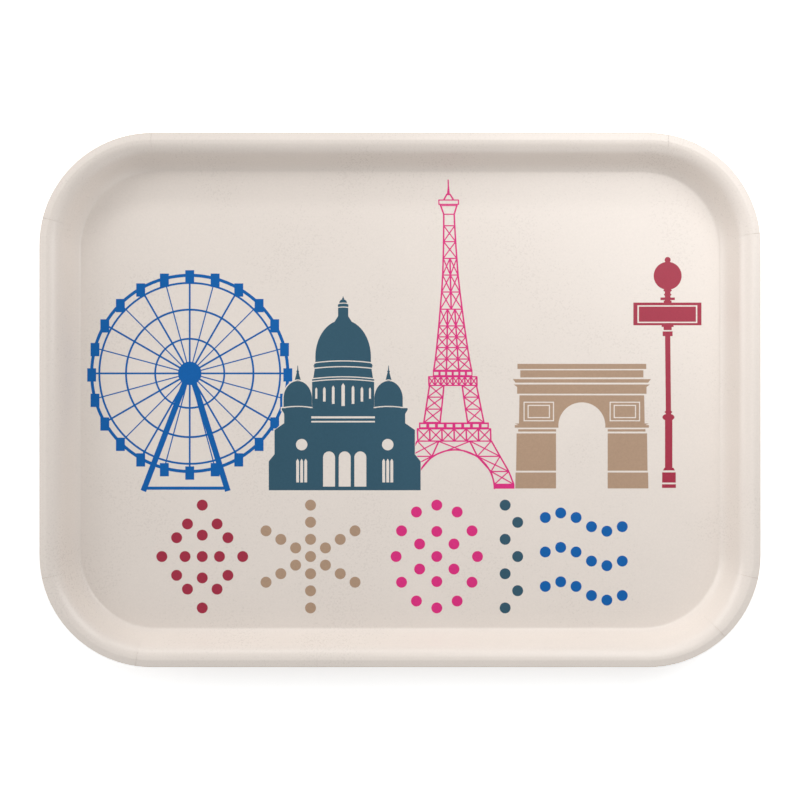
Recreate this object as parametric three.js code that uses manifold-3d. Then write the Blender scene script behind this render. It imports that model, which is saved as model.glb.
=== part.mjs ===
// A small form-pressed serving tray. One dish-shaped laminate, pressed from eight sheets bonded face to face:
// a printed decor sheet, an opaque underlay, five birch veneers and a backing sheet.
// Millimetres, +Z up, +X along the long side, the flat underside on Z = 0 and centred on the Z axis.
import * as THREE from 'three';
import { mergeVertices } from 'three/addons/utils/BufferGeometryUtils.js';
import Module from 'manifold-3d';

// Outside of the tray
const LENGTH = 270;
const WIDTH = 200;
const HEIGHT = 15;
const CORNER_RADIUS = 42;
const CORNER_STEPS = 6;

// Sheets, from the serving face down
const DECOR_THICKNESS = 0.2;
const UNDERLAY_THICKNESS = 0.2;
const VENEER_THICKNESS = 0.46;
const VENEER_COUNT = 5;
const BACKING_THICKNESS = 0.3;

// Section of the serving face, from the floor outwards. Each arc turns the slope from one angle to another.
// A straight wall joins SWEEP to RIM_RISE, and a straight lip runs from LIP_TURN to the cut edge. The arcs that
// curve over have a radius above the laminate's thickness, so that every sheet below can follow them.
const CREASE = { radius: 1.2, from: 0, to: 45, steps: 1 };
const SWEEP = { radius: 11.8, from: 45, to: 68, steps: 2 };
const RIM_RISE = { radius: 8, from: 68, to: 16, steps: 3 };
const RIM_TOP = { radius: 3.4, from: 16, to: 0, steps: 1 };
const LIP_TURN = { radius: 3.4, from: 0, to: -8, steps: 1 };
const LIP_WIDTH = 1.8;
const EDGE_CROWN = 0.4;

// Corner joints, where the flat stack is slit so that it can fold into a dish
const JOINT_LENGTH = 9;
const JOINT_MOUTH = 0.3;
const JOINT_OVERSHOOT = 1;
const JOINT_STAGGER = 2;
const JOINTS = [
  { corner: [1, 1], angle: 80, turn: 10 },
  { corner: [1, 1], angle: 6, turn: 0 },
  { corner: [-1, 1], angle: 90, turn: 0 },
  { corner: [-1, 1], angle: 166, turn: 0 },
  { corner: [-1, -1], angle: 192, turn: 0 },
  { corner: [-1, -1], angle: 262, turn: 0 },
  { corner: [1, -1], angle: 313, turn: 0 },
  { corner: [1, -1], angle: 348, turn: 0 },
];

const THICKNESS =
  DECOR_THICKNESS + UNDERLAY_THICKNESS + VENEER_COUNT * VENEER_THICKNESS + BACKING_THICKNESS;
const CORNERS = [[1, 1], [-1, 1], [-1, -1], [1, -1]];

const wasm = await Module();
wasm.setup();

function radians(degrees) {
  return THREE.MathUtils.degToRad(degrees);
}

// How far out and how far up an arc goes by the time it reaches a slope.
function arcRun({ radius, from, to }, slope) {
  return Math.sign(to - from) * radius * (Math.sin(radians(slope)) - Math.sin(radians(from)));
}

function arcRise({ radius, from, to }, slope) {
  return Math.sign(to - from) * radius * (Math.cos(radians(from)) - Math.cos(radians(slope)));
}

// Adds an arc's points to a section, each with the distance out from the crease, the height and the slope.
function addArc(points, arc) {
  const start = points[points.length - 1];
  for (let i = 1; i <= arc.steps; i += 1) {
    const slope = THREE.MathUtils.lerp(arc.from, arc.to, i / arc.steps);
    points.push({ out: start.out + arcRun(arc, slope), up: start.up + arcRise(arc, slope), slope });
  }
}

// The serving face's section. The straight wall takes up whatever height the arcs leave.
function servingSection() {
  const points = [{ out: 0, up: THICKNESS, slope: 0 }];
  addArc(points, CREASE);
  addArc(points, SWEEP);
  const foot = points[points.length - 1];
  const wallTop = HEIGHT - arcRise(RIM_TOP, RIM_TOP.to) - arcRise(RIM_RISE, RIM_RISE.to);
  const wallRun = (wallTop - foot.up) / Math.tan(radians(SWEEP.to));
  points.push({ out: foot.out + wallRun, up: wallTop, slope: SWEEP.to });
  addArc(points, RIM_RISE);
  addArc(points, RIM_TOP);
  addArc(points, LIP_TURN);
  return points;
}

const SECTION = servingSection();
const CREASE_INSET = SECTION[SECTION.length - 1].out + LIP_WIDTH;

// The milled edge is slightly crowned: flush at mid-thickness and set back at both faces.
function edgeInset(depth) {
  const offCentre = (2 * depth) / THICKNESS - 1;
  return EDGE_CROWN * offCentre * offCentre;
}

// The section at a depth below the serving face, measured square to it: insets from the outside, and heights.
function sectionAtDepth(depth) {
  const points = SECTION.map(({ out, up, slope }) => ({
    inset: CREASE_INSET - out - depth * Math.sin(radians(slope)),
    height: up - depth * Math.cos(radians(slope)),
  }));
  const last = points[points.length - 1];
  const inset = edgeInset(depth);
  const fall = (last.inset - inset) * Math.tan(radians(LIP_TURN.to));
  points.push({ inset, height: last.height + fall });
  return points;
}

// One closed loop of points round the tray, at an inset from the outside.
function loopAt({ inset, height }) {
  const loop = [];
  CORNERS.forEach(([signX, signY], quarter) => {
    for (let i = 0; i <= CORNER_STEPS; i += 1) {
      const angle = (quarter + i / CORNER_STEPS) * (Math.PI / 2);
      loop.push([
        signX * (LENGTH / 2 - CORNER_RADIUS) + (CORNER_RADIUS - inset) * Math.cos(angle),
        signY * (WIDTH / 2 - CORNER_RADIUS) + (CORNER_RADIUS - inset) * Math.sin(angle),
        height,
      ]);
    }
  });
  return loop;
}

// A dish-shaped sheet between two depths. Its loops run from the middle of the upper face out over the rim,
// round the cut edge and back under to the middle of the lower face.
function dishGeometry(upperDepth, lowerDepth) {
  const upper = sectionAtDepth(upperDepth);
  const lower = sectionAtDepth(lowerDepth).reverse();
  const loops = [...upper, ...lower].map(loopAt);
  const positions = [0, 0, upper[0].height, ...loops.flat(2), 0, 0, lower[lower.length - 1].height];
  const around = loops[0].length;
  const lastPoint = positions.length / 3 - 1;
  const index = [];
  for (let i = 0; i < around; i += 1) {
    const next = (i + 1) % around;
    index.push(0, 1 + i, 1 + next);
    for (let k = 0; k + 1 < loops.length; k += 1) {
      const inner = 1 + k * around;
      const outer = inner + around;
      // both faces of a sheet, and the faces of its neighbours, are split along the same diagonals
      if (k < upper.length) {
        index.push(inner + i, outer + i, outer + next);
        index.push(inner + i, outer + next, inner + next);
      } else {
        index.push(inner + i, outer + i, inner + next);
        index.push(inner + next, outer + i, outer + next);
      }
    }
    const lastLoop = 1 + (loops.length - 1) * around;
    index.push(lastLoop + i, lastPoint, lastLoop + next);
  }
  const geometry = new THREE.BufferGeometry();
  geometry.setAttribute('position', new THREE.Float32BufferAttribute(positions, 3));
  geometry.setIndex(index);
  return geometry;
}

// A narrow wedge with its point on the wall and its mouth just past the outside of the rim.
function jointWedge({ corner, angle, turn }, stagger) {
  const reach = JOINT_LENGTH + JOINT_OVERSHOOT;
  const halfMouth = (JOINT_MOUTH / 2) * (reach / JOINT_LENGTH);
  const outline = new THREE.Shape();
  outline.moveTo(0, 0);
  outline.lineTo(reach, -halfMouth);
  outline.lineTo(reach, halfMouth);
  outline.closePath();
  const wedge = new THREE.ExtrudeGeometry(outline, { depth: HEIGHT + 2, bevelEnabled: false });
  const around = radians(angle + stagger);
  const heading = radians(angle + stagger + turn);
  const centreX = corner[0] * (LENGTH / 2 - CORNER_RADIUS);
  const centreY = corner[1] * (WIDTH / 2 - CORNER_RADIUS);
  wedge.rotateZ(heading);
  wedge.translate(
    centreX + CORNER_RADIUS * Math.cos(around) - JOINT_LENGTH * Math.cos(heading),
    centreY + CORNER_RADIUS * Math.sin(around) - JOINT_LENGTH * Math.sin(heading),
    -1,
  );
  return wedge;
}

function toSolid(geometry) {
  const bare = geometry.clone();
  bare.deleteAttribute('normal');
  bare.deleteAttribute('uv');
  const merged = mergeVertices(bare, 1e-4);
  return new wasm.Manifold(
    new wasm.Mesh({
      numProp: 3,
      vertProperties: new Float32Array(merged.attributes.position.array),
      triVerts: new Uint32Array(merged.index.array),
    }),
  );
}

function toGeometry(solid) {
  const mesh = solid.getMesh();
  const geometry = new THREE.BufferGeometry();
  geometry.setAttribute('position', new THREE.BufferAttribute(new Float32Array(mesh.vertProperties), 3));
  geometry.setIndex(new THREE.BufferAttribute(new Uint32Array(mesh.triVerts), 1));
  geometry.computeVertexNormals();
  return geometry;
}

// A sheet with its corner joints slit. Each veneer's joints are turned a little away from its neighbours'.
function sheetMesh(name, upperDepth, thickness, stagger, material) {
  let solid = toSolid(dishGeometry(upperDepth, upperDepth + thickness));
  for (const joint of JOINTS) {
    solid = solid.subtract(toSolid(jointWedge(joint, stagger)));
  }
  const mesh = new THREE.Mesh(toGeometry(solid), material);
  mesh.name = name;
  return mesh;
}

// Materials
function melamine(color, roughness) {
  return new THREE.MeshStandardMaterial({ color, roughness, metalness: 0 });
}

function veneer(color) {
  return new THREE.MeshStandardMaterial({ color, roughness: 0.65, metalness: 0 });
}

const CREAM = '#e8ddd1';
const UNDERLAY_TAN = '#b39a7d';
const BIRCH_LONG = '#cfae82';
const BIRCH_CROSS = '#b08d63';

const tray = new THREE.Group();
let depth = 0;

function addSheet(name, thickness, stagger, material) {
  tray.add(sheetMesh(name, depth, thickness, stagger, material));
  depth += thickness;
}

addSheet('decor_sheet', DECOR_THICKNESS, 0, melamine(CREAM, 0.35));
addSheet('underlay_sheet', UNDERLAY_THICKNESS, 0, melamine(UNDERLAY_TAN, 0.6));
for (let i = 1; i <= VENEER_COUNT; i += 1) {
  const crossGrain = i % 2 === 0;
  const stagger = crossGrain ? -JOINT_STAGGER : JOINT_STAGGER;
  addSheet(`veneer_${i}`, VENEER_THICKNESS, stagger, veneer(crossGrain ? BIRCH_CROSS : BIRCH_LONG));
}
addSheet('backing_sheet', BACKING_THICKNESS, 0, melamine(CREAM, 0.45));

export default tray;
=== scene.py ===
import math

import bpy
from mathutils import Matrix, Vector


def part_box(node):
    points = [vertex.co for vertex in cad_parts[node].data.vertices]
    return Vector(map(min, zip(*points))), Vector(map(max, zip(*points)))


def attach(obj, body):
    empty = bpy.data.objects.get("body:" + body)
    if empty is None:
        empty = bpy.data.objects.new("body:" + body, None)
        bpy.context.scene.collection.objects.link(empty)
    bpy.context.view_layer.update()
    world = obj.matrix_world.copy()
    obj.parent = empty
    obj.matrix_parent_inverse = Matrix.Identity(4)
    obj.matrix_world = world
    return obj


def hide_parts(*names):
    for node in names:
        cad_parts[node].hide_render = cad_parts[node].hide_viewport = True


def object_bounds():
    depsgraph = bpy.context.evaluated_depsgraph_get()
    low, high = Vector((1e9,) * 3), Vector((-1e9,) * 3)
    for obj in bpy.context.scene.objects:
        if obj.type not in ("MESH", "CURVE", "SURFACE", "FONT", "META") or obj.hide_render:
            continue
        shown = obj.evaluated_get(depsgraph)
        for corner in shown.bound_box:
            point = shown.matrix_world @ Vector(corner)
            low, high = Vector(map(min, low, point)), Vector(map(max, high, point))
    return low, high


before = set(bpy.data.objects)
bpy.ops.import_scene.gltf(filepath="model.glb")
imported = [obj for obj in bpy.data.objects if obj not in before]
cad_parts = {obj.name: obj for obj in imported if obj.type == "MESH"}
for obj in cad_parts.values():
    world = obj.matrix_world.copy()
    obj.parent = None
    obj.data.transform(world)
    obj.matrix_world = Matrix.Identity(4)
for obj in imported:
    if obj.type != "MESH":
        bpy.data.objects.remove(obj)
cad_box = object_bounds()

# -----------------------------------------------------------------------------
# Decor sheet. The cream serving face: paper printed and filled with melamine
# resin, cured against a satin plate. It starts as a flat round-cornered blank
# and is pressed to the dish, from the cut edge in to the floor.
# -----------------------------------------------------------------------------
MM = 0.001
LENGTH = cad_box[1].x - cad_box[0].x
WIDTH = cad_box[1].y - cad_box[0].y
HEIGHT = cad_box[1].z
DECOR_THICKNESS = 0.2 * MM
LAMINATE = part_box("decor_sheet")[0].z + DECOR_THICKNESS
CORNER_RADIUS = 42 * MM
EDGE_CROWN = 0.4 * MM
GLUE_LINE = 0.01 * MM
LIP_WIDTH = 2.4 * MM
WALL_SLOPE = 68
LIP_SLOPE = -8
CORNER_SEGMENTS = 24

# arcs of the section from the lip inwards: radius, slope at the outer end, slope
# at the inner end, steps; the two single steps leave a soft crease by the lip
LIP_TURN = (3.4 * MM, LIP_SLOPE, 0, 1)
RIM_TOP = (3.4 * MM, 0, 16, 1)
RIM_RISE = (6.3 * MM, 16, WALL_SLOPE, 10)
SWEEP = (11.8 * MM, WALL_SLOPE, 45, 5)
CREASE = (1.2 * MM, 45, 0, 6)
FLOOR_HOLD = 0.4 * MM


def arc_steps(arc, hollow):
    """The (inwards, downwards, slope) steps along an arc, bulging or hollow."""
    radius, outer, inner, steps = arc
    sign = -1 if hollow else 1
    for i in range(steps):
        a = math.radians(outer + (inner - outer) * i / steps)
        b = math.radians(outer + (inner - outer) * (i + 1) / steps)
        inwards = sign * radius * (math.sin(b) - math.sin(a))
        downwards = sign * radius * (math.cos(a) - math.cos(b))
        yield inwards, downwards, math.degrees(b)


def serving_section():
    """Points (inset, height, slope) of the serving face, from lip to floor."""
    points = [(LIP_WIDTH, 0.0, LIP_SLOPE)]

    def follow(arc, hollow):
        for inwards, downwards, slope in arc_steps(arc, hollow):
            inset, height, _ = points[-1]
            points.append((inset + inwards, height - downwards, slope))

    follow(LIP_TURN, False)
    top = points[-1][1]
    follow(RIM_TOP, False)
    follow(RIM_RISE, False)
    hollow_drop = sum(s[1] for arc in (SWEEP, CREASE) for s in arc_steps(arc, True))
    wall_drop = HEIGHT - LAMINATE - hollow_drop - (top - points[-1][1])
    inset, height, slope = points[-1]
    wall_run = wall_drop / math.tan(math.radians(slope))
    points.append((inset + wall_run, height - wall_drop, slope))
    follow(SWEEP, True)
    follow(CREASE, True)
    return [(inset, height - top + HEIGHT, slope) for inset, height, slope in points]


def section_at(depth):
    """The section at a depth square to the serving face, from its cut edge in."""
    points = []
    for inset, height, slope in serving_section():
        lean = math.radians(slope)
        points.append((inset - depth * math.sin(lean), height - depth * math.cos(lean)))
    off_centre = 2 * depth / LAMINATE - 1
    edge_inset = EDGE_CROWN * off_centre**2
    edge_height = points[0][1] + (points[0][0] - edge_inset) * math.tan(math.radians(LIP_SLOPE))
    return [(edge_inset, edge_height)] + points


def keep_only(piece):
    """Select one object alone and make it the active one."""
    bpy.ops.object.select_all(action="DESELECT")
    piece.select_set(True)
    bpy.context.view_layer.objects.active = piece


def settle(piece):
    """Put the object's place, turn and size into its mesh."""
    keep_only(piece)
    bpy.ops.object.transform_apply(location=True, rotation=True, scale=True)


def press_sheet(name, depth, thickness):
    """A round-cornered blank, inset ring by ring down the section, then thickened."""
    rings = section_at(depth)
    edge_inset, edge_height = rings[0]
    bpy.ops.object.select_all(action="DESELECT")
    bpy.ops.mesh.primitive_plane_add(size=1, location=(0, 0, edge_height))
    sheet = bpy.context.active_object
    sheet.name = name
    sheet.scale = (LENGTH - 2 * edge_inset, WIDTH - 2 * edge_inset, 1)
    settle(sheet)
    bpy.ops.object.mode_set(mode="EDIT")
    bpy.ops.mesh.select_all(action="SELECT")
    bpy.ops.mesh.bevel(
        offset=CORNER_RADIUS - edge_inset,
        segments=CORNER_SEGMENTS,
        profile=0.5,
        affect="VERTICES",
        clamp_overlap=False,
    )
    bpy.ops.mesh.select_mode(type="FACE")
    bpy.ops.mesh.select_all(action="SELECT")
    for (inset, height), (next_inset, next_height) in zip(rings, rings[1:]):
        bpy.ops.mesh.inset(
            thickness=next_inset - inset,
            depth=next_height - height,
            use_even_offset=True,
        )
    bpy.ops.mesh.inset(thickness=FLOOR_HOLD, depth=0, use_even_offset=True)
    bpy.ops.object.mode_set(mode="OBJECT")
    body = sheet.modifiers.new("thickness", "SOLIDIFY")
    body.thickness = thickness - GLUE_LINE
    body.offset = -1
    body.use_even_offset = True
    bpy.ops.object.modifier_apply(modifier=body.name)
    return sheet


# Corner joints: the flat stack is slit so that it can fold into a dish. Each has
# its corner, the angle round it, and its turn away from the corner's centre.
JOINT_LENGTH = 9 * MM
JOINT_MOUTH = 0.1 * MM
JOINT_OVERSHOOT = 1.1
JOINT_TAPER = 0.1
JOINT_STAGGER = 2
CREASE_ANGLE = 11
JOINTS = [
    ((1, 1), 80, 10),
    ((1, 1), 6, 0),
    ((-1, 1), 90, 0),
    ((-1, 1), 166, 0),
    ((-1, -1), 192, 0),
    ((-1, -1), 262, 0),
    ((1, -1), 313, 0),
    ((1, -1), 348, 0),
]


def slit_joints(sheet, stagger):
    """Cut the corner joints with wedges that point inwards and open past the edge."""
    wedges = []
    for corner, angle, turn in JOINTS:
        around = math.radians(angle + stagger)
        heading = math.radians(angle + stagger + turn)
        mouth = Vector((math.cos(around), math.sin(around))) * CORNER_RADIUS
        centre = Vector(
            (
                corner[0] * (LENGTH / 2 - CORNER_RADIUS),
                corner[1] * (WIDTH / 2 - CORNER_RADIUS),
            )
        )
        outwards = Vector((math.cos(heading), math.sin(heading)))
        middle = centre + mouth - outwards * JOINT_LENGTH / 2
        bpy.ops.object.select_all(action="DESELECT")
        bpy.ops.mesh.primitive_cube_add(size=1, location=(middle.x, middle.y, HEIGHT / 2))
        wedge = bpy.context.active_object
        wedge.scale = (JOINT_LENGTH * JOINT_OVERSHOOT, JOINT_MOUTH, HEIGHT * 2)
        wedge.rotation_euler = (0, 0, heading)
        for vertex in wedge.data.vertices:
            if vertex.co.x < 0:
                vertex.co.y *= JOINT_TAPER
        settle(wedge)
        wedges.append(wedge)
    for wedge in wedges:
        wedge.select_set(True)
    bpy.ops.object.join()
    cutter = bpy.context.active_object
    keep_only(sheet)
    slit = sheet.modifiers.new("slits", "BOOLEAN")
    slit.operation = "DIFFERENCE"
    slit.solver = "EXACT"
    slit.object = cutter
    bpy.ops.object.modifier_apply(modifier=slit.name)
    bpy.data.objects.remove(cutter)
    bpy.ops.object.shade_smooth_by_angle(angle=math.radians(CREASE_ANGLE))


def shader_group(name, inputs, outputs):
    """An empty node group with named inputs (label, kind, value) and outputs (label, kind)."""
    group = bpy.data.node_groups.new(name, "ShaderNodeTree")
    for label, kind, value in inputs:
        socket = group.interface.new_socket(
            name=label, in_out="INPUT", socket_type=kind
        )
        socket.default_value = value
    for label, kind in outputs:
        group.interface.new_socket(name=label, in_out="OUTPUT", socket_type=kind)
    given = group.nodes.new("NodeGroupInput").outputs
    put = group.nodes.new("NodeGroupOutput").inputs
    return group, given, put


def patch(tree, kind, links=(), **settings):
    """A node with its settings, its inputs fed by sockets or set to plain values."""
    node = tree.nodes.new(kind)
    for key, value in settings.items():
        setattr(node, key, value)
    for socket, source in links:
        if isinstance(source, bpy.types.NodeSocket):
            tree.links.new(source, node.inputs[socket])
        else:
            node.inputs[socket].default_value = source
    return node


def cloud(tree, place, scale, detail=2.0, stretch=None, turn=0.0):
    """Noise with about this many features a metre, stretched and turned if asked."""
    if stretch is not None:
        laid = patch(tree, "ShaderNodeMapping", [("Vector", place)])
        laid.inputs["Rotation"].default_value = (0, 0, math.radians(turn))
        laid.inputs["Scale"].default_value = stretch
        place = laid.outputs["Vector"]
    links = [("Vector", place), ("Scale", scale), ("Detail", detail)]
    return patch(tree, "ShaderNodeTexNoise", links).outputs[0]


def graded(tree, value, low, high, to_low, to_high):
    """A value's stretch from low to high spread over another stretch."""
    links = [
        ("Value", value),
        ("From Min", low),
        ("From Max", high),
        ("To Min", to_low),
        ("To Max", to_high),
    ]
    return patch(tree, "ShaderNodeMapRange", links).outputs["Result"]


def worked(tree, operation, a, b):
    """Two values added, multiplied or otherwise worked together."""
    return patch(tree, "ShaderNodeMath", [(0, a), (1, b)], operation=operation).outputs["Value"]


# Resin-filled paper: cloudy tone, a fine mottle from the press plate, and faint
# rubbing marks from use
RESIN_FACE, given, put = shader_group(
    "pressed_resin_face",
    [
        ("Colour", "NodeSocketColor", (1, 1, 1, 1)),
        ("Roughness", "NodeSocketFloat", 0.3),
        ("Cloudiness", "NodeSocketFloat", 0.02),
        ("Mottle", "NodeSocketFloat", 0.02),
        ("Rubbing", "NodeSocketFloat", 0.5),
    ],
    [
        ("Colour", "NodeSocketColor"),
        ("Roughness", "NodeSocketFloat"),
        ("Height", "NodeSocketFloat"),
    ],
)
place = patch(RESIN_FACE, "ShaderNodeTexCoord").outputs["Object"]
clouds = graded(RESIN_FACE, cloud(RESIN_FACE, place, 26), 0.3, 0.7, -1, 1)
mottle = graded(RESIN_FACE, cloud(RESIN_FACE, place, 1500, 3), 0.3, 0.7, -1, 1)
marks = worked(
    RESIN_FACE,
    "MAXIMUM",
    cloud(RESIN_FACE, place, 1, 1, (30, 2600, 30), 24),
    cloud(RESIN_FACE, place, 1, 1, (24, 2200, 24), -52),
)
rubbed = worked(
    RESIN_FACE,
    "MULTIPLY",
    graded(RESIN_FACE, marks, 0.66, 0.74, 0, 1),
    graded(RESIN_FACE, cloud(RESIN_FACE, place, 45), 0.5, 0.68, 0, 1),
)
rubbed = worked(RESIN_FACE, "MULTIPLY", rubbed, given["Rubbing"])
tone = worked(
    RESIN_FACE,
    "ADD",
    worked(RESIN_FACE, "MULTIPLY", clouds, given["Cloudiness"]),
    worked(RESIN_FACE, "MULTIPLY", mottle, given["Mottle"]),
)
tone = worked(RESIN_FACE, "ADD", worked(RESIN_FACE, "MULTIPLY", rubbed, 0.05), tone)
links = [(0, given["Colour"]), ("Scale", worked(RESIN_FACE, "ADD", tone, 1.0))]
shaded = patch(RESIN_FACE, "ShaderNodeVectorMath", links, operation="SCALE")
RESIN_FACE.links.new(shaded.outputs["Vector"], put["Colour"])
gloss = worked(RESIN_FACE, "MULTIPLY", mottle, 0.03)
gloss = worked(RESIN_FACE, "ADD", given["Roughness"], gloss)
gloss = worked(RESIN_FACE, "ADD", gloss, worked(RESIN_FACE, "MULTIPLY", clouds, 0.02))
gloss = worked(RESIN_FACE, "ADD", gloss, worked(RESIN_FACE, "MULTIPLY", rubbed, 0.15))
RESIN_FACE.links.new(gloss, put["Roughness"])
relief = worked(RESIN_FACE, "SUBTRACT", mottle, worked(RESIN_FACE, "MULTIPLY", rubbed, 2.0))
RESIN_FACE.links.new(relief, put["Height"])


def surfaced(name, group, bump_depth, values):
    """A material whose colour, roughness and relief come from a group's values."""
    material = bpy.data.materials.new(name)
    material.use_nodes = True
    tree = material.node_tree
    face = patch(tree, "ShaderNodeGroup", node_tree=group)
    for label, value in values:
        face.inputs[label].default_value = value
    links = [("Height", face.outputs["Height"]), ("Distance", bump_depth)]
    bump = patch(tree, "ShaderNodeBump", links)
    bump.inputs["Strength"].default_value = 1.0
    shader = tree.nodes["Principled BSDF"]
    tree.links.new(face.outputs["Colour"], shader.inputs["Base Color"])
    tree.links.new(face.outputs["Roughness"], shader.inputs["Roughness"])
    tree.links.new(bump.outputs["Normal"], shader.inputs["Normal"])
    return material


def resin_finish(name, colour, roughness, cloudiness, mottle, rubbing, bump_depth):
    """A finish of resin-filled paper in one colour."""
    values = [
        ("Colour", (*colour, 1)),
        ("Roughness", roughness),
        ("Cloudiness", cloudiness),
        ("Mottle", mottle),
        ("Rubbing", rubbing),
    ]
    return surfaced(name, RESIN_FACE, bump_depth, values)


def finished(piece, material):
    """Give a piece its material in a slot of its own, and fix it to the tray."""
    piece.data.materials.clear()
    piece.data.materials.append(material)
    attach(piece, "root")
    return piece


cream_melamine = resin_finish(
    "cream_melamine", (0.80, 0.724, 0.662), 0.3, 0.015, 0.02, 0.5, 1.5e-6
)
decor = press_sheet("decor_face", 0, DECOR_THICKNESS)
slit_joints(decor, 0)
finished(decor, cream_melamine)
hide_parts("decor_sheet")

# -----------------------------------------------------------------------------
# Underlay. Opaque brown kraft paper soaked in resin, which hides the wood under
# the decor sheet. It is pressed and slit with it, and shows as one dark line
# along the milled edge.
# -----------------------------------------------------------------------------
UNDERLAY_THICKNESS = 0.2 * MM

depth = DECOR_THICKNESS
kraft_paper = resin_finish(
    "kraft_paper", (0.36, 0.24, 0.14), 0.6, 0.04, 0.12, 0.0, 6e-6
)
underlay = press_sheet("underlay_paper", depth, UNDERLAY_THICKNESS)
slit_joints(underlay, 0)
finished(underlay, kraft_paper)
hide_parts("underlay_sheet")
depth += UNDERLAY_THICKNESS

# -----------------------------------------------------------------------------
# Five rotary-cut birch veneers, glued with their grain crossed in turn and
# pressed to the dish in one go. They carry the load, and show as thin pale and
# dark bands along the milled edge of the rim.
# -----------------------------------------------------------------------------
VENEER_THICKNESS = 0.46 * MM
VENEER_COUNT = 5
GRAIN_RELIEF = 15e-6

BIRCH, given, put = shader_group(
    "birch_grain",
    [
        ("Pale wood", "NodeSocketColor", (1, 1, 1, 1)),
        ("Dark wood", "NodeSocketColor", (0.5, 0.5, 0.5, 1)),
        ("Turn", "NodeSocketFloat", 0.0),
    ],
    [
        ("Colour", "NodeSocketColor"),
        ("Roughness", "NodeSocketFloat"),
        ("Height", "NodeSocketFloat"),
    ],
)
place = patch(BIRCH, "ShaderNodeTexCoord").outputs["Object"]
links = [("Vector", place), ("Angle", given["Turn"])]
laid = patch(BIRCH, "ShaderNodeVectorRotate", links).outputs["Vector"]
figure = graded(BIRCH, cloud(BIRCH, laid, 1, 3, (6, 90, 400)), 0.35, 0.65, 0, 0.55)
pores = graded(BIRCH, cloud(BIRCH, laid, 1, 2, (140, 3200, 5200)), 0.52, 0.72, 0, 0.45)
darkness = worked(BIRCH, "ADD", figure, pores)
wood = patch(BIRCH, "ShaderNodeMix", [(0, darkness)], data_type="RGBA")
BIRCH.links.new(given["Pale wood"], wood.inputs[6])
BIRCH.links.new(given["Dark wood"], wood.inputs[7])
BIRCH.links.new(wood.outputs[2], put["Colour"])
BIRCH.links.new(graded(BIRCH, darkness, 0, 1, 0.5, 0.72), put["Roughness"])
BIRCH.links.new(worked(BIRCH, "SUBTRACT", 1.0, darkness), put["Height"])


def birch_finish(name, pale, dark, turn):
    """A finish of sanded birch, its grain along X or turned from it in degrees."""
    values = [
        ("Pale wood", (*pale, 1)),
        ("Dark wood", (*dark, 1)),
        ("Turn", math.radians(turn)),
    ]
    return surfaced(name, BIRCH, GRAIN_RELIEF, values)


long_birch = birch_finish("long_birch", (0.60, 0.42, 0.24), (0.42, 0.26, 0.13), 0)
cross_birch = birch_finish("cross_birch", (0.44, 0.28, 0.15), (0.26, 0.15, 0.075), 90)
for number in range(1, VENEER_COUNT + 1):
    veneer = press_sheet(f"birch_{number}", depth, VENEER_THICKNESS)
    if number % 2 == 1:
        slit_joints(veneer, JOINT_STAGGER)
        finished(veneer, long_birch)
    else:
        slit_joints(veneer, -JOINT_STAGGER)
        finished(veneer, cross_birch)
    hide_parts(f"veneer_{number}")
    depth += VENEER_THICKNESS

# -----------------------------------------------------------------------------
# Backing sheet. Plain cream resin-filled paper, a little duller than the
# serving face and rubbed where the tray slides on a table; it is pressed on
# underneath and stops the laminate from cupping.
# -----------------------------------------------------------------------------
BACKING_THICKNESS = 0.3 * MM

cream_backing = resin_finish(
    "cream_backing", (0.76, 0.67, 0.59), 0.44, 0.03, 0.05, 1.0, 5e-6
)
backing = press_sheet("backing_face", depth, BACKING_THICKNESS)
slit_joints(backing, 0)
finished(backing, cream_backing)
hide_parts("backing_sheet")

# -----------------------------------------------------------------------------
# Observation wheel, in blue. Like the whole picture it is a film of ink in the
# decor paper, printed flat before the paper was filled and pressed: rims, rings,
# spokes, upright cabins and two splayed legs.
# -----------------------------------------------------------------------------
INK_SINK = 0.01 * MM
INK_RISE = 0.02 * MM
CUT_REACH = 4
GROUND = -33.9


def ink_block(x, y, wide, tall, turn=0.0, top=1.0):
    """A block of ink centred at x, y in mm, turned in degrees, its top edge scaled."""
    bpy.ops.object.select_all(action="DESELECT")
    level = LAMINATE + (INK_RISE - INK_SINK) / 2
    bpy.ops.mesh.primitive_cube_add(size=1, location=(x * MM, y * MM, level))
    block = bpy.context.active_object
    for vertex in block.data.vertices:
        if vertex.co.y > 0:
            vertex.co.x *= top
    block.scale = (wide * MM, tall * MM, INK_RISE + INK_SINK)
    block.rotation_euler = (0, 0, math.radians(turn))
    settle(block)
    return block


def ink_disc(x, y, wide, tall, points=48):
    """A round or oval patch of ink."""
    bpy.ops.object.select_all(action="DESELECT")
    level = LAMINATE + (INK_RISE - INK_SINK) / 2
    bpy.ops.mesh.primitive_cylinder_add(
        vertices=points,
        radius=0.5,
        depth=INK_RISE + INK_SINK,
        location=(x * MM, y * MM, level),
    )
    disc = bpy.context.active_object
    disc.scale = (wide * MM, tall * MM, 1)
    settle(disc)
    return disc


def ink_line(start, end, width):
    """A straight stroke of ink from one point to another."""
    run = Vector(end) - Vector(start)
    middle = (Vector(start) + Vector(end)) / 2
    turn = math.degrees(math.atan2(run.y, run.x))
    return ink_block(middle.x, middle.y, run.length, width, turn)


def ink_ring(x, y, radius, width, points=96):
    """A ring of ink, measured to its outside: a disc with its middle taken out."""
    ring = ink_disc(x, y, 2 * radius, 2 * radius, points)
    for face in ring.data.polygons:
        face.select = abs(face.normal.z) > 0.5
    bpy.ops.object.mode_set(mode="EDIT")
    bpy.ops.mesh.select_mode(type="FACE")
    bpy.ops.mesh.inset(thickness=width * MM, use_even_offset=True)
    bpy.ops.mesh.bridge_edge_loops()
    bpy.ops.object.mode_set(mode="OBJECT")
    return ring


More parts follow.
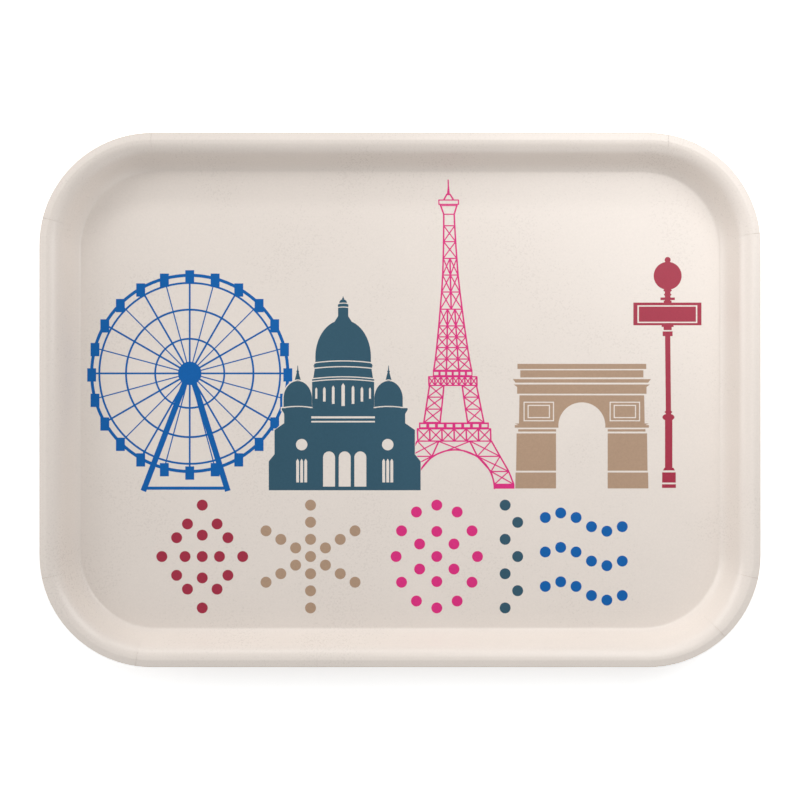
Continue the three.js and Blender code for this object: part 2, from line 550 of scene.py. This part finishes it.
def joined(parts):
    """Several objects made one."""
    bpy.ops.object.select_all(action="DESELECT")
    for part in parts:
        part.select_set(True)
    bpy.context.view_layer.objects.active = parts[0]
    if len(parts) > 1:
        bpy.ops.object.join()
    return bpy.context.active_object


def combine(base, other, how):
    """Add or cut one object with another, which is used up."""
    keep_only(base)
    work = base.modifiers.new("work", "BOOLEAN")
    work.operation = how
    work.solver = "EXACT"
    work.use_self = True
    work.object = other
    bpy.ops.object.modifier_apply(modifier=work.name)
    bpy.data.objects.remove(other)
    return base


def fused(parts):
    """Overlapping shapes of ink made one closed film."""
    return combine(joined(parts[:-1]), parts[-1], "UNION")


def cut(film, parts):
    """A film with shapes left unprinted in it, made taller than the film first."""
    bare = joined(parts)
    for vertex in bare.data.vertices:
        vertex.co.z = LAMINATE + (vertex.co.z - LAMINATE) * CUT_REACH
    return combine(film, bare, "DIFFERENCE")


def copy_to(part, x, y):
    """A copy of a shape drawn round the origin, with its own mesh, moved to x, y."""
    twin = part.copy()
    twin.data = part.data.copy()
    bpy.context.collection.objects.link(twin)
    twin.location = (x * MM, y * MM, 0)
    settle(twin)
    return twin


def ink_finish(name, colour):
    """A finish of resin-filled paper with solid ink in it, which dulls it a little."""
    ink = resin_finish(name, colour, 0.34, 0.03, 0.04, 0.5, 1.5e-6)
    ink.node_tree.nodes["Principled BSDF"].inputs["Specular IOR Level"].default_value = 0.25
    return ink


def printed(film, name, ink):
    """Name a finished film of ink and fix it to the tray."""
    film.name = name
    return finished(film, ink)


WHEEL_X, WHEEL_Y = -80.6, 10.2
WHEEL_RADIUS = 37.6
FRAME_X = -82.2
SPOKES = 24
SPOKE_START = 3
THICK_SPOKE, THIN_SPOKE = 0.68, 0.45
CABIN_HANG = 0.6
blue_ink = ink_finish("blue_ink", (0.003, 0.115, 0.40))
hub = Vector((WHEEL_X, WHEEL_Y))
wheel_parts = [
    ink_ring(*hub, WHEEL_RADIUS + 0.6, 1.2),
    ink_ring(*hub, 35.05, 0.75),
    ink_ring(*hub, 24.8, 0.75),
    ink_ring(*hub, 13.6, 0.7),
    ink_disc(*hub, 9.0, 9.0),
    ink_block(FRAME_X, GROUND + 0.1, 31, 1.2),
]
for side in (-1, 1):
    foot = (FRAME_X + side * 16.2, GROUND - 1.0)
    wheel_parts.append(ink_line((WHEEL_X + side * 0.5, WHEEL_Y), foot, 2.2))
cabin = ink_block(0, 0, 3.4, 5.1)
for i in range(SPOKES):
    turn = math.tau * i / SPOKES
    out = Vector((math.sin(turn), math.cos(turn)))
    spoke = THIN_SPOKE if i % 2 else THICK_SPOKE
    wheel_parts.append(
        ink_line(hub + out * SPOKE_START, hub + out * (WHEEL_RADIUS - 0.5), spoke)
    )
    hung = hub + out * WHEEL_RADIUS + Vector((0, -CABIN_HANG))
    wheel_parts.append(copy_to(cabin, *hung))
bpy.data.objects.remove(cabin)
wheel = fused(wheel_parts)

# -----------------------------------------------------------------------------
# Domed hall, in teal ink, printed in front of the wheel: a lantern, a great dome
# on a drum with slit windows, two side domes with spires, and a wide front with
# round windows and three arched doors, which are bare paper.
# -----------------------------------------------------------------------------
HALL_X = -21.2
DOME_X = -21.8
SIDE_DOME = 17.4
HALL_BASE = -34.6
BARE_LINE = 0.42
KEYLINE = 0.45

teal_ink = ink_finish("teal_ink", (0.034, 0.096, 0.142))


def hall_mass(grow=0.0):
    """The hall's stepped front and side domes, each larger all round by a margin."""
    blocks = []
    for wide, top_wide, low, high in (
        (58.2, 58.2, HALL_BASE, -23.4),
        (58.2, 53.8, -23.5, -20.8),
        (53.8, 53.8, -20.9, -11.4),
        (53.8, 46.4, -11.5, -8.9),
        (46.4, 46.4, -9.0, -5.2),
        (46.4, 48.2, -5.3, -3.8),
        (48.2, 48.2, -3.9, -3.1),
    ):
        wide, top_wide = wide + 2 * grow, top_wide + 2 * grow
        tall = high - low + 2 * grow
        blocks.append(
            ink_block(HALL_X, (low + high) / 2, wide, tall, 0, top_wide / wide)
        )
    for side in (-1, 1):
        x = DOME_X + side * SIDE_DOME
        blocks.append(ink_disc(x, 0.5, 10.9 + 2 * grow, 13.6 + 2 * grow, 64))
        blocks.append(ink_block(x, -1.2, 10.88 + 2 * grow, 3.6))
        blocks.append(ink_block(x, 9.0, 2.4 + 2 * grow, 3.2, 0, 0.3))
        blocks.append(ink_disc(x, 10.9, 1.0 + 2 * grow, 1.0 + 2 * grow, 24))
        blocks.append(ink_block(x, 12.1, 0.5 + 2 * grow, 2.2, 0, 0.4))
    return blocks


def bare_bow(x, y, wide, rise, thick=BARE_LINE):
    """A bare line that bows up in its middle, as the ring round a dome does."""
    bow = ink_block(0, 0, wide, thick)
    bpy.ops.object.mode_set(mode="EDIT")
    bpy.ops.mesh.select_mode(type="EDGE")
    bpy.ops.mesh.select_all(action="DESELECT")
    bpy.ops.object.mode_set(mode="OBJECT")
    for edge in bow.data.edges:
        ends = [bow.data.vertices[i].co.x for i in edge.vertices]
        edge.select = abs(ends[0] - ends[1]) > wide * MM / 2
    bpy.ops.object.mode_set(mode="EDIT")
    bpy.ops.mesh.subdivide(number_cuts=11)
    bpy.ops.object.mode_set(mode="OBJECT")
    for vertex in bow.data.vertices:
        across = 2 * vertex.co.x / (wide * MM)
        vertex.co += Vector((x * MM, y * MM + rise * MM * (1 - across**2), 0))
    return bow


def bare_slit(x, low, high, wide):
    """A tall bare window with a pointed top."""
    point = wide * 0.7
    body = ink_block(x, (low + high - point) / 2, wide, high - point - low)
    head = ink_block(x, high - point / 2 - 0.02, wide, point + 0.04, 0, 0.15)
    return [body, head]


hall_parts = hall_mass() + [
    ink_disc(DOME_X, 16.5, 21.3, 28.4, 96),
    ink_block(DOME_X, 15.0, 21.28, 3.2),
    ink_block(DOME_X, 30.9, 7.0, 2.4, 0, 0.56),
    ink_block(DOME_X, 33.2, 3.9, 5.6),
    ink_disc(DOME_X, 36.3, 4.1, 1.7),
    ink_disc(DOME_X, 37.3, 2.9, 2.6),
    ink_disc(DOME_X, 38.8, 0.8, 0.8),
    ink_block(DOME_X, 39.3, 0.5, 1.0, 0, 0.3),
    ink_disc(DOME_X, 13.1, 22.9, 1.7, 64),
    ink_block(DOME_X, 12.9, 22.2, 2.0),
    ink_block(DOME_X, 10.2, 23.0, 4.4, 0, 0.94),
    ink_block(DOME_X, 1.0, 23.8, 14.6),
]
hall = fused(hall_parts)
bare = [
    bare_bow(DOME_X, 14.0, 26, 1.0),
    bare_bow(DOME_X, 11.9, 26, 0.9),
    bare_bow(DOME_X, 8.0, 26, 0.9),
    bare_bow(DOME_X, 7.0, 26, 0.9),
    bare_bow(DOME_X, 35.35, 5, 0.3, 0.35),
    bare_bow(DOME_X, 36.85, 5, 0.3, 0.35),
    ink_block(DOME_X, -6.65, 24.4, 0.8),
    ink_block(DOME_X, -8.3, 24.4, 0.6),
]
for offset, low, high, wide in (
    (0, -2.3, 6.4, 1.3),
    (3.8, -1.5, 5.5, 1.05),
    (7.2, -0.6, 5.0, 1.0),
    (10.3, 0.5, 4.8, 0.8),
):
    for side in (-1, 1) if offset else (1,):
        bare += bare_slit(DOME_X + side * offset, low, high, wide)
for side in (-1, 1):
    x = DOME_X + side * SIDE_DOME
    bare.append(bare_bow(x, -2.95, 11.4, 0.5))
    bare.append(bare_bow(x, 7.2, 3.4, 0.5, 0.35))
    x = HALL_X + side * 16.5
    bare.append(ink_ring(x, -17.1, 3.0, 0.38, 48))
    bare.append(ink_disc(x, -17.1, 4.4, 4.4))
    for i in (-1, 0, 1):
        bare += bare_slit(x + i * 1.55, -31.6, -22.6, 1.1)
for i in (-1, 0, 1):
    x = HALL_X + i * 6.0
    bare.append(ink_block(x, -27.6, 4.6, 11.2))
    bare.append(ink_disc(x, -22.0, 4.6, 4.6))
hall = cut(hall, bare)
printed(hall, "hall_print", teal_ink)
wheel = cut(wheel, hall_mass(KEYLINE))
printed(wheel, "wheel_print", blue_ink)

# -----------------------------------------------------------------------------
# Lattice tower, in magenta ink, printed behind the hall's right end in outline
# with crossed braces: a spire, a top deck, a slender shaft, two decks, straight
# upper legs, and splayed lower legs joined by an arch.
# -----------------------------------------------------------------------------
EDGE_STROKE = 0.6
BRACE_STROKE = 0.46
TOWER_TOP = 84.5
SPIRE_X = 18.45
LEAN = 0.0236

magenta_ink = ink_finish("magenta_ink", (0.71, 0.030, 0.215))


def tower_point(half, y):
    """A point at a distance from the tower's axis, which leans a little."""
    return (SPIRE_X + LEAN * (TOWER_TOP - y) + half, y)


def tower_block(y, wide, tall, top=1.0):
    """A block of ink across the tower's axis."""
    return ink_block(tower_point(0, y)[0], y, wide, tall, 0, top)


def braced(corners, crossed=True):
    """A panel of the lattice: two edges, a bottom line and crossed braces."""
    (left_low, right_low), (left_high, right_high) = corners
    strokes = [
        ink_line(left_low, left_high, EDGE_STROKE),
        ink_line(right_low, right_high, EDGE_STROKE),
        ink_line(left_low, right_low, BRACE_STROKE),
    ]
    if crossed:
        strokes.append(ink_line(left_low, right_high, BRACE_STROKE))
        strokes.append(ink_line(right_low, left_high, BRACE_STROKE))
    return strokes


# height and half width of the shaft, then how many braced bays stand side by
# side under that height
SHAFT = [
    (71.2, 2.0, 0),
    (66.8, 2.1, 1),
    (60.7, 2.3, 1),
    (54.3, 2.6, 2),
    (47.9, 2.95, 2),
    (41.4, 3.5, 2),
    (34.8, 4.2, 3),
    (28.4, 4.9, 3),
    (24.2, 5.4, 3),
    (20.1, 5.9, 3),
    (15.7, 6.5, 3),
    (11.4, 7.25, 0),
]
tower_parts = [
    ink_line(tower_point(0, 78.6), tower_point(0, TOWER_TOP), 0.5),
    tower_block(80.6, 1.2, 4.2, 0.3),
    ink_line(tower_point(-0.5, 79.0), tower_point(-1.8, 76.8), EDGE_STROKE),
    ink_line(tower_point(0.5, 79.0), tower_point(1.8, 76.8), EDGE_STROKE),
    tower_block(76.65, 7.8, 0.45),
    tower_block(75.0, 7.8, 0.45),
    tower_block(74.5, 6.6, 0.4),
    ink_line(tower_point(-3.75, 74.9), tower_point(-3.75, 76.8), 0.45),
    ink_line(tower_point(3.75, 74.9), tower_point(3.75, 76.8), 0.45),
    ink_line(tower_point(-3.2, 74.8), tower_point(-2.0, 71.2), EDGE_STROKE),
    ink_line(tower_point(3.2, 74.8), tower_point(2.0, 71.2), EDGE_STROKE),
    tower_block(71.2, 4.0, 0.45),
]
for (high, high_half, bays), (low, low_half, _) in zip(SHAFT, SHAFT[1:]):
    if bays == 0:
        corners = [
            [tower_point(side * half, y) for side in (-1, 1)]
            for half, y in ((low_half, low), (high_half, high))
        ]
        tower_parts += braced(corners, crossed=False)
    for bay in range(bays):
        left, right = 2 * bay / bays - 1, 2 * (bay + 1) / bays - 1
        corners = [
            [tower_point(left * low_half, low), tower_point(right * low_half, low)],
            [tower_point(left * high_half, high), tower_point(right * high_half, high)],
        ]
        tower_parts += braced(corners)

# the two decks, each a solid band with bare squares over a braced band: height,
# width, thickness and squares of the one, then height, width, thickness and bays
# of the other
DECKS = [
    (10.15, 15.2, 2.6, 6, 7.25, 18.4, 3.3, 8),
    (-9.85, 26.8, 2.5, 8, -13.4, 28.0, 4.7, 6),
]
bare = []
for band_y, band_wide, band_tall, squares, lattice_y, lattice_wide, lattice_tall, bays in DECKS:
    tower_parts.append(tower_block(band_y, band_wide, band_tall))
    for i in range(squares):
        step = band_wide / squares
        x = tower_point((i + 0.5) * step - band_wide / 2, band_y)[0]
        bare.append(ink_block(x, band_y, step * 0.66, band_tall * 0.46))
    for i in range(bays):
        left = i * lattice_wide / bays - lattice_wide / 2
        right = left + lattice_wide / bays
        low, high = lattice_y - lattice_tall / 2, lattice_y + lattice_tall / 2
        corners = [[tower_point(left, y), tower_point(right, y)] for y in (low, high)]
        tower_parts += braced(corners)
    for y in (lattice_y - lattice_tall / 2, lattice_y + lattice_tall / 2):
        tower_parts.append(tower_block(y, lattice_wide + 0.5, 0.5))
# legs, each a run of points (height, inner, outer distance from the axis)
UPPER_LEG = [(5.6, 3.5, 9.0), (1.1, 4.0, 9.8), (-3.5, 4.6, 10.6), (-8.6, 5.3, 11.5)]
LOWER_LEG = [
    (-15.7, 5.9, 14.2),
    (-21.6, 8.7, 17.4),
    (-27.4, 13.8, 20.6),
    (-32.3, 15.0, 22.4),
]
for leg in (UPPER_LEG, LOWER_LEG):
    for (high, high_in, high_out), (low, low_in, low_out) in zip(leg, leg[1:]):
        for side in (-1, 1):
            corners = [
                [tower_point(side * low_in, low), tower_point(side * low_out, low)],
                [tower_point(side * high_in, high), tower_point(side * high_out, high)],
            ]
            tower_parts += braced(corners)
for side in (-1, 1):
    tower_parts.append(ink_block(tower_point(side * 18.65, -33.1)[0], -33.1, 8.0, 1.8))
    start, end = tower_point(side * 5.9, -15.9), tower_point(-side * 8.7, -21.6)
    tower_parts.append(ink_line(start, end, BRACE_STROKE))
ARCH_X, ARCH_Y, ARCH_RADIUS = 21.1, -34.2, 15.4
TOWER_KEYLINE = 0.2
tower_parts.append(ink_ring(ARCH_X, ARCH_Y, ARCH_RADIUS, EDGE_STROKE))
tower = fused(tower_parts)
bare.append(ink_block(ARCH_X, ARCH_Y - 10, 40, 20.1))
bare += hall_mass(TOWER_KEYLINE)
tower = cut(tower, bare)
printed(tower, "tower_print", magenta_ink)

# -----------------------------------------------------------------------------
# Gate, in tan ink: a stepped top, a broad body with a round-headed opening and
# two framed panels, and two piers on bases. Its courses are printed apart, with
# thin lines of bare paper between them.
# -----------------------------------------------------------------------------
GATE_X = 69.7
OPENING_RADIUS = 9.0
SPRINGING = -9.9

tan_ink = ink_finish("tan_ink", (0.435, 0.293, 0.20))
gate_parts = []
for wide, top_wide, low, high in (
    (49.4, 49.4, 11.9, 13.85),
    (47.2, 47.2, 8.65, 11.4),
    (50.8, 52.9, 6.65, 8.0),
    (49.6, 52.2, 5.0, 5.95),
    (49.6, 49.6, 2.4, 5.05),
    (48.2, 47.8, -9.5, 1.8),
    (48.6, 51.4, -9.6, -9.0),
    (51.4, 51.4, -10.6, -9.6),
    (48.8, 48.8, -12.1, -11.2),
    (50.4, 50.0, -27.1, -12.8),
    (51.0, 50.8, GROUND, -27.8),
):
    gate_parts.append(
        ink_block(GATE_X, (low + high) / 2, wide, high - low, 0, top_wide / wide)
    )
gate = fused(gate_parts)
bare = [
    ink_disc(GATE_X, SPRINGING, 2 * OPENING_RADIUS, 2 * OPENING_RADIUS, 96),
    ink_block(GATE_X, SPRINGING - 0.45, 2 * OPENING_RADIUS - 0.8, 1.0),
    ink_block(GATE_X, -22.6, 2 * OPENING_RADIUS + 1.8, 24),
]
for side in (-1, 1):
    for wide, tall in ((11.7, 7.5), (8.6, 5.1)):
        for edge in (-1, 1):
            x = GATE_X + side * 16.5
            bare.append(ink_block(x + edge * (wide - BARE_LINE) / 2, -4.4, BARE_LINE, tall))
            bare.append(ink_block(x, -4.4 + edge * (tall - BARE_LINE) / 2, wide, BARE_LINE))
gate = cut(gate, bare)
printed(gate, "gate_print", tan_ink)

# -----------------------------------------------------------------------------
# Signpost, in crimson ink: a globe on a turned neck, a blank framed plate, and a
# slender post with a knob and a stepped foot. The frame is a line of bare paper.
# -----------------------------------------------------------------------------
POST_X = 102.6
FOOT_X = 103.1

crimson_ink = ink_finish("crimson_ink", (0.375, 0.030, 0.062))
sign_parts = [
    ink_disc(POST_X, 53.7, 2.3, 2.3, 32),
    ink_disc(POST_X, 47.6, 10.7, 10.7, 96),
    ink_disc(POST_X, 42.0, 3.2, 1.3, 32),
    ink_block(POST_X, 40.0, 2.1, 6.0),
    ink_disc(POST_X, 40.4, 2.9, 1.2, 32),
    ink_block(POST_X, 38.8, 5.5, 1.0),
    ink_block(POST_X, 37.6, 3.0, 1.0),
    ink_block(POST_X - 0.1, 33.0, 26.1, 8.7),
    ink_block(POST_X, 28.4, 4.6, 0.8),
    ink_block(POST_X, 27.4, 3.1, 1.2),
    ink_block(POST_X, 25.4, 3.8, 1.8),
    ink_line((POST_X, 25.0), (FOOT_X - 0.2, -6.0), 2.0),
    ink_disc(FOOT_X - 0.2, -4.6, 2.9, 1.1, 32),
    ink_disc(FOOT_X - 0.2, -6.6, 4.6, 2.7, 48),
    ink_block(FOOT_X - 0.1, -17.0, 2.8, 19.0),
    ink_block(FOOT_X, -26.5, 4.6, 1.0, 0, 0.75),
    ink_block(FOOT_X, -29.7, 5.2, 3.9),
    ink_block(FOOT_X, -33.0, 5.3, 1.4),
]
sign = fused(sign_parts)
bare = [ink_block(POST_X, 26.55, 5, 0.4)]
for edge in (-1, 1):
    bare.append(ink_block(POST_X - 0.1 + edge * 11.2, 32.9, 0.55, 6.8))
    bare.append(ink_block(POST_X - 0.1, 32.9 + edge * 3.15, 22.9, 0.5))
sign = cut(sign, bare)
printed(sign, "signpost_print", crimson_ink)

# -----------------------------------------------------------------------------
# Dot ornaments, one in each ink, in a row under the picture: a diamond, a star,
# a rosette, a zigzag and waves. Each dot is a round spot of ink, printed like the
# rest and a little thinner at its edge.
# -----------------------------------------------------------------------------
DOT_RADIUS = 2.1
DOT_ROWS = (-40.3, -46.9, -53.4, -60.0, -66.6, -73.1, -79.7)
MIDDLE_ROW = DOT_ROWS[3]

dot = ink_disc(0, 0, 2 * DOT_RADIUS, 2 * DOT_RADIUS, 40)
for face in dot.data.polygons:
    face.select = face.normal.z > 0.5
bpy.ops.object.mode_set(mode="EDIT")
bpy.ops.mesh.select_mode(type="FACE")
bpy.ops.mesh.inset(thickness=0.12 * MM, depth=0.004 * MM)
bpy.ops.object.mode_set(mode="OBJECT")


def dotted(name, places, ink):
    """An ornament: a copy of the dot at each place, joined."""
    dots = [copy_to(dot, x, y) for x, y in places]
    return printed(joined(dots), name, ink)


diamond_x, diamond_half, diamond_tall = -75.8, 15.5, 19.7
diamond = [(diamond_x, MIDDLE_ROW)]
for step in range(12):
    turn = math.tau * step / 12
    reach = 1 / (abs(math.cos(turn)) + abs(math.sin(turn)))
    across = diamond_half * reach * math.cos(turn)
    diamond.append((diamond_x + across, MIDDLE_ROW + diamond_tall * reach * math.sin(turn)))
for x, y in ((-6.6, 0), (6.6, 0), (0, 8.2), (0, -8.2)):
    diamond.append((diamond_x + x, MIDDLE_ROW + y))
dotted("diamond_dots", diamond, crimson_ink)

star_x = -34.3
star = [(star_x, MIDDLE_ROW)]
for arm in range(6):
    turn = math.radians(90 + 60 * arm)
    for radius in (6.6, 13.15, 19.7):
        across, along = radius * math.cos(turn), radius * math.sin(turn)
        star.append((star_x + across, MIDDLE_ROW + along))
dotted("star_dots", star, tan_ink)

rosette_x = 14.1
rosette = [(rosette_x, MIDDLE_ROW)]
for count, offset, wide, tall in ((12, 0, 15.6, 19.7), (6, 0.5, 7.6, 9.6)):
    for step in range(count):
        turn = math.tau * (step + offset) / count
        across, along = wide * math.cos(turn), tall * math.sin(turn)
        rosette.append((rosette_x + across, MIDDLE_ROW + along))
dotted("rosette_dots", rosette, magenta_ink)

zigzag_x, zigzag_swing = 42.7, 2.4
zigzag = []
for row, y in enumerate(DOT_ROWS):
    zigzag.append((zigzag_x + (zigzag_swing if row % 2 else -zigzag_swing), y))
dotted("zigzag_dots", zigzag, teal_ink)

waves = []
wave_x, wave_pitch, wave_rise, wave_gap = 55.7, 5.9, 3.5, 13.2
for y in (MIDDLE_ROW + wave_gap, MIDDLE_ROW, MIDDLE_ROW - wave_gap):
    for step in range(6):
        rise = wave_rise * math.sin(math.tau * (step + 0.5) / 6)
        waves.append((wave_x + wave_pitch * step, y + rise))
dotted("wave_dots", waves, blue_ink)
bpy.data.objects.remove(dot)

# -----------------------------------------------------------------------------
# The setting: a plain pale floor, a near window with four soft panels round the
# tray, and a camera straight above it.
# -----------------------------------------------------------------------------
FLOOR_SIZE = 12
FLOOR_GAP = 0.1 * MM
CAMERA_HEIGHT = 0.4562
LENS = 53.2
AMBIENT = 0.355
BACKDROP = 0.92
FLOOR_GLOW = 0.5

bpy.ops.object.select_all(action="DESELECT")
bpy.ops.mesh.primitive_plane_add(size=FLOOR_SIZE, location=(0, 0, -FLOOR_GAP))
floor = bpy.context.active_object
floor.name = "floor"
floor_paint = bpy.data.materials.new("floor_paint")
floor_paint.use_nodes = True
floor_shader = floor_paint.node_tree.nodes["Principled BSDF"]
floor_shader.inputs["Base Color"].default_value = (0.95, 0.95, 0.95, 1)
floor_shader.inputs["Roughness"].default_value = 0.9
floor_shader.inputs["Specular IOR Level"].default_value = 0.0
floor_shader.inputs["Emission Color"].default_value = (1, 1, 1, 1)
floor_tree = floor_paint.node_tree
seen = patch(floor_tree, "ShaderNodeLightPath").outputs["Is Camera Ray"]
glow = worked(floor_tree, "MULTIPLY", seen, FLOOR_GLOW)
floor_tree.links.new(glow, floor_shader.inputs["Emission Strength"])
floor.data.materials.append(floor_paint)

world = bpy.data.worlds.new("studio")
bpy.context.scene.world = world
world.use_nodes = True
backdrop = world.node_tree.nodes["Background"]
backdrop.inputs["Color"].default_value = (0.985, 0.995, 1.0, 1)
studio = world.node_tree
seen = patch(studio, "ShaderNodeLightPath").outputs["Is Camera Ray"]
seen_extra = worked(studio, "MULTIPLY", seen, BACKDROP - AMBIENT)
strength = worked(studio, "ADD", seen_extra, AMBIENT)
studio.links.new(strength, backdrop.inputs["Strength"])


def soft_light(name, azimuth, elevation, distance, power, wide, tall):
    """A flat light aimed at the tray; azimuth runs from +Y towards +X."""
    around, up = math.radians(azimuth), math.radians(elevation)
    level = math.cos(up)
    away = Vector((math.sin(around) * level, math.cos(around) * level, math.sin(up)))
    bpy.ops.object.light_add(type="AREA", location=away * distance)
    light = bpy.context.active_object
    light.name = name
    light.rotation_euler = away.to_track_quat("Z", "Y").to_euler()
    light.data.shape = "RECTANGLE"
    light.data.size = wide
    light.data.size_y = tall
    light.data.energy = power
    light.visible_camera = False
    return light


soft_light("near_window", 45, 50, 0.45, 1.04, 0.35, 0.35)
soft_light("corner_panel", -45, 34, 1.0, 1.3, 0.4, 0.4)
soft_light("left_panel", -75, 18, 1.0, 3.35, 0.6, 0.6)
soft_light("front_panel", 165, 18, 1.0, 1.4, 0.6, 0.6)
soft_light("far_panel", -8, 28, 1.0, 1.65, 0.7, 0.1)

bpy.ops.object.camera_add(location=(0, 0, CAMERA_HEIGHT), rotation=(0, 0, 0))
camera = bpy.context.active_object
camera.data.lens = LENS
camera.data.sensor_width = 36
bpy.context.scene.camera = camera
bpy.context.scene.view_settings.view_transform = "Standard"
